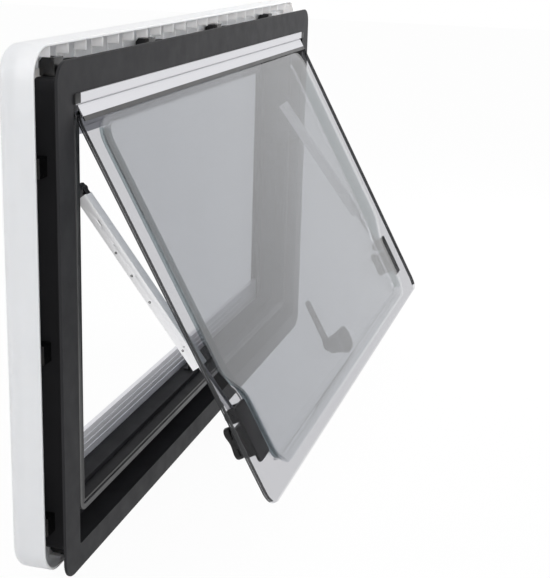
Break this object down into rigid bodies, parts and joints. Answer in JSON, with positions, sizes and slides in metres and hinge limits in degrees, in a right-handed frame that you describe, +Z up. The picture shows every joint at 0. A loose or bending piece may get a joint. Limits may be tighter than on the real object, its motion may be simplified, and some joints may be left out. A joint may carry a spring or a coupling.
{
  "type": "caravan window",
  "caption": "Top-hung acrylic caravan window in a flanged frame, propped open on telescopic stays, with a clamped inner frame carrying a blind and a flyscreen.",
  "frame": {"origin": "middle of the outer frame's lower flange band, on its back face, which lies on the wall's outside", "axes": "+X to the right seen from outside, +Y into the caravan through the wall, +Z up"},
  "size_m": [0.95, 0.2793, 0.5501],
  "materials": {
    "anthracite_frame": "satin moulded",
    "black_plastic": "fine moulded grain",
    "white_plastic": "semi-gloss moulded",
    "seal_rubber": "matt",
    "hinge_aluminium": "pale anodised",
    "sash_aluminium": "pale anodised",
    "bar_aluminium": "anodised with grooves",
    "stay_aluminium": "satin anodised",
    "stay_steel": "zinc plated",
    "screw_steel": "zinc plated",
    "blind_fabric": "pleated white",
    "screen_fabric": "fine grey mesh",
    "outer_acrylic": "grey tinted, polished",
    "inner_acrylic": "grey tinted, moulded"
  },
  "bodies": {
    "frame": {"outer_frame": "anthracite_frame", "frame_seal": "seal_rubber", "hinge_rail": "hinge_aluminium", "hinge_rail_cap_left": "black_plastic", "hinge_rail_cap_right": "black_plastic", "stay_pivot_left": "black_plastic", "stay_pivot_right": "black_plastic", "latch_keeper": "black_plastic", "inner_frame": "white_plastic", "guide_rail_left": "black_plastic", "guide_rail_right": "black_plastic", "blind_bar": "bar_aluminium", "screen_bar": "bar_aluminium", "blind_bar_ends": "black_plastic", "screen_bar_ends": "black_plastic", "blind_handle": "black_plastic", "screen_handle": "black_plastic", "blind_roll": "blind_fabric", "screen_roll": "screen_fabric", "roll_brackets": "black_plastic", "clamps_top": "black_plastic", "clamps_bottom": "black_plastic", "clamps_left": "black_plastic", "clamps_right": "black_plastic", "clamp_screws_top": "screw_steel", "clamp_screws_bottom": "screw_steel", "clamp_screws_left": "screw_steel", "clamp_screws_right": "screw_steel"},
    "sash": {"sash_rail": "sash_aluminium", "rail_gasket": "seal_rubber", "outer_pane": "outer_acrylic", "inner_pane": "inner_acrylic", "stay_bracket_left": "black_plastic", "stay_bracket_right": "black_plastic", "latch_base": "black_plastic"},
    "stay_channel_left": {"stay_channel_left": "stay_aluminium"},
    "stay_channel_right": {"stay_channel_right": "stay_aluminium"},
    "stay_bar_left": {"stay_bar_left": "stay_steel"},
    "stay_bar_right": {"stay_bar_right": "stay_steel"},
    "stay_knob_left": {"stay_knob_left": "black_plastic"},
    "stay_knob_right": {"stay_knob_right": "black_plastic"},
    "latch_lever": {"latch_lever": "black_plastic"}
  },
  "joints": [
    {"name": "sash_hinge", "type": "hinge", "parent": "frame", "child": "sash", "pos_m": [0, 0.0045, 0.482], "axis": [-1, 0, 0], "range_deg": [-28.5, 11.5]},
    {"name": "stay_channel_left_swing", "type": "hinge", "parent": "frame", "child": "stay_channel_left", "pos_m": [-0.386, 0.015, 0.39], "axis": [-1, 0, 0], "range_deg": [-36.5, 15]},
    {"name": "stay_channel_right_swing", "type": "hinge", "parent": "frame", "child": "stay_channel_right", "pos_m": [0.386, 0.015, 0.39], "axis": [-1, 0, 0], "range_deg": [-36.5, 15]},
    {"name": "stay_bar_left_swing", "type": "hinge", "parent": "sash", "child": "stay_bar_left", "pos_m": [-0.386, -0.15335, 0.16717], "axis": [-1, 0, 0], "range_deg": [-8, 3.5]},
    {"name": "stay_bar_right_swing", "type": "hinge", "parent": "sash", "child": "stay_bar_right", "pos_m": [0.386, -0.15335, 0.16717], "axis": [-1, 0, 0], "range_deg": [-8, 3.5]},
    {"name": "stay_knob_left_turn", "type": "hinge", "parent": "sash", "child": "stay_knob_left", "pos_m": [-0.386, -0.15577, 0.13548], "axis": [0, 0.8788, -0.4772], "range_deg": [0, 90]},
    {"name": "stay_knob_right_turn", "type": "hinge", "parent": "sash", "child": "stay_knob_right", "pos_m": [0.386, -0.15577, 0.13548], "axis": [0, 0.8788, -0.4772], "range_deg": [0, 90]},
    {"name": "latch_turn", "type": "hinge", "parent": "sash", "child": "latch_lever", "pos_m": [0.04, -0.15444, 0.10859], "axis": [0, 0.8788, -0.4772], "range_deg": [0, 90]}
  ],
  "couplings": [
    {"joint": "stay_channel_left_swing", "follows": "sash_hinge", "ratio": 1.27},
    {"joint": "stay_channel_right_swing", "follows": "sash_hinge", "ratio": 1.27},
    {"joint": "stay_bar_left_swing", "follows": "sash_hinge", "ratio": 0.27},
    {"joint": "stay_bar_right_swing", "follows": "sash_hinge", "ratio": 0.27}
  ]
}
